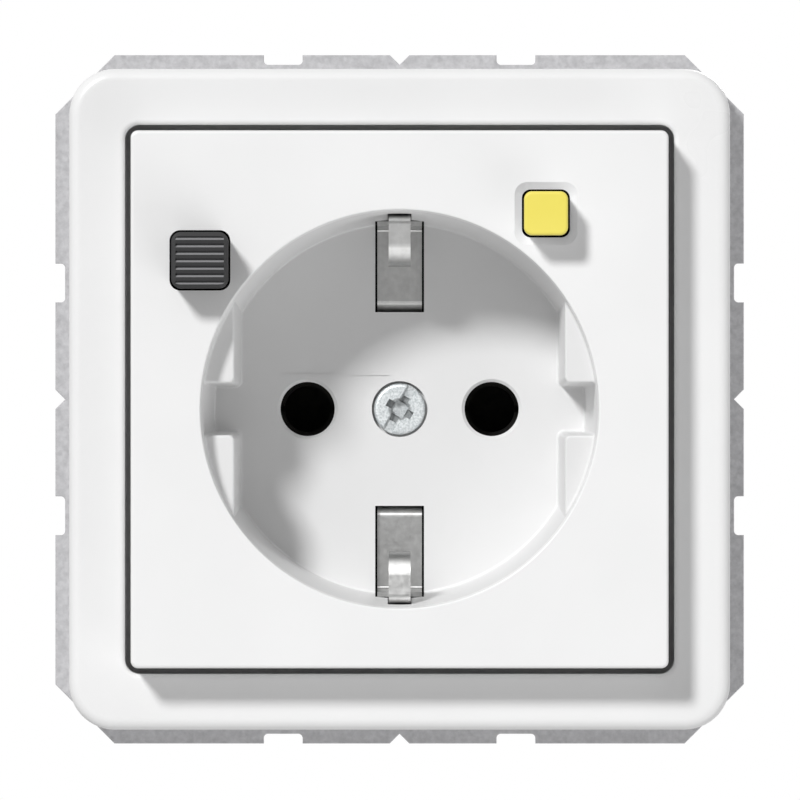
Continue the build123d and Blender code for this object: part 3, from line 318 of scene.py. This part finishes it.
head, tree, shader, place = finish_of("screw_head_zinc", roughness=0.42, metallic=0.5)
depth = tree.nodes.new("ShaderNodeSeparateXYZ")
tree.links.new(place, depth.inputs["Vector"])
level = tree.nodes.new("ShaderNodeMapRange")
level.inputs["From Min"].default_value = head_face_y
level.inputs["From Max"].default_value = head_face_y + recess_deep
tree.links.new(depth.outputs["Y"], level.inputs["Value"])
tip = tree.nodes.new("ShaderNodeMath")
tip.operation = "GREATER_THAN"
tip.inputs[1].default_value = 0.8
tree.links.new(level.outputs["Result"], tip.inputs[0])
middle = tree.nodes.new("ShaderNodeVectorMath")
middle.operation = "DISTANCE"
middle.inputs[1].default_value = head_middle
tree.links.new(place, middle.inputs[0])
# Painted shade in a disc round the middle, left off the tip floor.
star = tree.nodes.new("ShaderNodeMapRange")
star.inputs["From Min"].default_value = star_r - star_edge
star.inputs["From Max"].default_value = star_r
star.inputs["To Min"].default_value = 0.5
tree.links.new(middle.outputs["Value"], star.inputs["Value"])
painted_middle_shade = larger(tree, star.outputs["Result"], tip.outputs["Value"])
# Painted shade: floors darker by depth, the cross darkest, the square tip floor light.
face, slot, cross, punched = (0, 1), (0.3, 0.82), (0.5, 0.42), (0.8, 0.85)
painted_recess_shade = shades(tree, level.outputs["Result"], (face, slot, cross, punched), "CONSTANT")
dark, light = (0.58, 0.62, 0.63), (0.90, 0.93, 0.94)
sparkle = tint(tree, shader, speckle(tree, place, size=0.00022, detail=4.0), dark, light)
shaded = dulled(tree, dulled(tree, sparkle, painted_recess_shade), painted_middle_shade)
tree.links.new(shaded, shader.inputs["Base Color"])
relief(tree, shader, speckle(tree, place, size=0.00018, detail=3.0), height=0.00001)
dress(head, "cover_screw")

# Mounting plate: stamped from galvanised steel sheet, with the fine spangle of the zinc. Screws
# through its four slots hold the whole socket to the wall box.

spangle, tree, shader, place = finish_of("galvanised_sheet", roughness=0.5, metallic=0.6)
dark, light = (0.45, 0.448, 0.46), (0.58, 0.577, 0.59)
tint(tree, shader, speckle(tree, place, size=0.0005, detail=5.0), dark, light, 0.3, 0.7)
sheen_change(tree, shader, speckle(tree, place, size=0.0012), smooth=0.44, rough=0.56)
relief(tree, shader, speckle(tree, place, size=0.00025, detail=3.0), height=0.00001)
dress(spangle, "mounting_plate")

# Cover frame: a white moulding from a polished tool, which stands on the mounting plate all
# round the centre plate.


def polished(name, grey, rough):
    """White plastic from a polished mould, clean and even, with a very slight waviness."""
    material, tree, shader, place = finish_of(name, rough)
    clouds = speckle(tree, place, size=0.012, detail=2.0)
    tint(tree, shader, clouds, (0.985 * grey,) * 3, (grey,) * 3)
    sheen_change(tree, shader, clouds, 0.9 * rough, 1.1 * rough)
    waves = speckle(tree, place, size=0.002, detail=1.0)
    relief(tree, shader, waves, height=0.000004, strength=0.3)
    return material


dress(polished("white_frame_plastic", 0.852, 0.3), "cover_frame")

# Centre plate and plug well, in the same white plastic with a slightly softer polish. The well
# is given a greyer white than the plate, as painted shade for its depth.

dress(polished("white_plate_plastic", 0.88, 0.34), "centre_plate")
dress(polished("white_well_plastic_painted_shade", 0.775, 0.42), "plug_well")

# Reset button: dark grey moulding with grooves for the finger. The slopes of its ridges that
# face up carry a painted highlight, a lighter grey set by which way the surface faces.

highlight_painted_button, tree, shader, place = finish_of("dark_grey_button", roughness=0.42)
dark, bright = (0.016, 0.016, 0.017), (0.30, 0.30, 0.31)
# Painted highlight on the up-facing slopes of the ridges.
painted_slope_highlight = tint(tree, shader, upward(tree), dark, bright, 0.74, 0.80)
painted_slope_highlight.node.color_ramp.elements.new(0.90).color = (*bright, 1)
painted_slope_highlight.node.color_ramp.elements.new(0.97).color = (*dark, 1)
relief(tree, shader, speckle(tree, place, size=0.00015, detail=2.0), height=0.00001)
dress(highlight_painted_button, "reset_button")

# Test button: yellow moulding in its dish. It throws back plain light, so that the white dish
# round it stays a neutral grey.

yellow, tree, shader, place = finish_of("yellow_button", roughness=0.45)
lemon = tint(tree, shader, speckle(tree, place, size=0.006), (0.86, 0.74, 0.12), (0.89, 0.77, 0.14))
path = tree.nodes.new("ShaderNodeLightPath")
bounce = larger(tree, path.outputs["Is Diffuse Ray"], path.outputs["Is Glossy Ray"])
thrown = tree.nodes.new("ShaderNodeMix")
thrown.data_type = "RGBA"
thrown.inputs["B"].default_value = (0.8, 0.8, 0.8, 1)
tree.links.new(bounce, thrown.inputs["Factor"])
tree.links.new(lemon, thrown.inputs["A"])
tree.links.new(thrown.outputs["Result"], shader.inputs["Base Color"])
relief(tree, shader, speckle(tree, place, size=0.0002, detail=2.0), height=0.000006)
dress(yellow, "test_button")

# Studio: a pale floor below the object and a white surround. Metal mirrors straight back the
# dark stand of the camera in the middle of the white.

floor_z = -0.08
floor_half = 1.2
soft_level = 0.30
stand_level = 0.16
stand_inner, stand_outer = math.radians(12), math.radians(32)


def shows_background(tree):
    """The light path, and 1 for its rays that show the background straight, by gloss or glass."""
    path = tree.nodes.new("ShaderNodeLightPath").outputs
    mirrored = larger(tree, path["Is Glossy Ray"], path["Is Transmission Ray"])
    return path, larger(tree, path["Is Camera Ray"], mirrored)


floor_mesh = bpy.data.meshes.new("studio_floor")
sheet = bmesh.new()
bmesh.ops.create_grid(sheet, x_segments=1, y_segments=1, size=floor_half)
bmesh.ops.translate(sheet, verts=sheet.verts, vec=(0, 0, floor_z))
sheet.to_mesh(floor_mesh)
sheet.free()
floor = bpy.data.objects.new("studio_floor", floor_mesh)
bpy.context.scene.collection.objects.link(floor)
floor.visible_shadow = False
pale, tree, shader, place = finish_of("pale_floor", roughness=0.8)
dark, light = (0.80, 0.80, 0.80), (0.82, 0.82, 0.82)
seen_colour = tint(tree, shader, speckle(tree, place, size=0.05), dark, light)
_, shown = shows_background(tree)
choice = tree.nodes.new("ShaderNodeMix")
choice.data_type = "RGBA"
choice.inputs["A"].default_value = (0.35, 0.35, 0.35, 1)
tree.links.new(shown, choice.inputs["Factor"])
tree.links.new(seen_colour, choice.inputs["B"])
tree.links.new(choice.outputs["Result"], shader.inputs["Base Color"])
floor_mesh.materials.append(pale)

world = bpy.data.worlds.new("studio")
world.use_nodes = True
bpy.context.scene.world = world
tree = world.node_tree
background = tree.nodes["Background"]
background.inputs["Color"].default_value = (1, 1, 1, 1)
path, shown = shows_background(tree)
level = tree.nodes.new("ShaderNodeMapRange")
level.inputs["To Min"].default_value = soft_level
level.inputs["To Max"].default_value = 1.0
tree.links.new(shown, level.inputs["Value"])
place = tree.nodes.new("ShaderNodeTexCoord")
toward = tree.nodes.new("ShaderNodeSeparateXYZ")
tree.links.new(place.outputs["Generated"], toward.inputs["Vector"])
stand = tree.nodes.new("ShaderNodeMapRange")
stand.interpolation_type = "SMOOTHSTEP"
stand.inputs["From Min"].default_value = -math.cos(stand_inner)
stand.inputs["From Max"].default_value = -math.cos(stand_outer)
stand.inputs["To Min"].default_value = stand_level
stand.inputs["To Max"].default_value = 1.0
tree.links.new(toward.outputs["Y"], stand.inputs["Value"])
mirrored = tree.nodes.new("ShaderNodeMix")
mirrored.inputs["A"].default_value = 1.0
tree.links.new(path["Is Glossy Ray"], mirrored.inputs["Factor"])
tree.links.new(stand.outputs["Result"], mirrored.inputs["B"])
strength = tree.nodes.new("ShaderNodeMath")
strength.operation = "MULTIPLY"
tree.links.new(level.outputs["Result"], strength.inputs[0])
tree.links.new(mirrored.outputs["Result"], strength.inputs[1])
tree.links.new(strength.outputs[0], background.inputs["Strength"])

# Lamps: one key light from the upper left, two soft ones from below and a soft one behind. Each
# has its direction of travel, its strength and how wide it is in degrees.

for name, travel, power, angle in (
    ("key_light", (0.533, 1.0, -0.71), 2.48, 10),
    ("fill_light", (-0.5, 0.36, 0.5), 0.95, 46),
    ("low_light", (0.0, 0.6, 0.6), 0.26, 40),
    ("rear_light", (-0.4, -1.0, -0.6), 1.0, 30),
):
    lamp = bpy.data.lights.new(name, "SUN")
    lamp.energy = power
    lamp.angle = math.radians(angle)
    hung = bpy.data.objects.new(name, lamp)
    hung.rotation_euler = Vector(travel).to_track_quat("-Z", "Y").to_euler()
    bpy.context.scene.collection.objects.link(hung)

# Camera: a very long lens straight in front, because the photograph shows hardly any
# perspective. The picture has the given width at about the depth of the frame's face.

picture_width = 0.0823
picture_depth_y = -0.010
middle_x, middle_z = 0.00004, -0.00007

lens = bpy.data.cameras.new("camera")
lens.lens = 1500
lens.sensor_width = 36
lens.clip_start = 0.1
lens.clip_end = 20
camera = bpy.data.objects.new("camera", lens)
distance = picture_width * lens.lens / lens.sensor_width
camera.location = (middle_x, picture_depth_y - distance, middle_z)
camera.rotation_euler = (math.radians(90), 0, 0)
bpy.context.scene.collection.objects.link(camera)
bpy.context.scene.camera = camera
bpy.context.scene.view_settings.view_transform = "Standard"
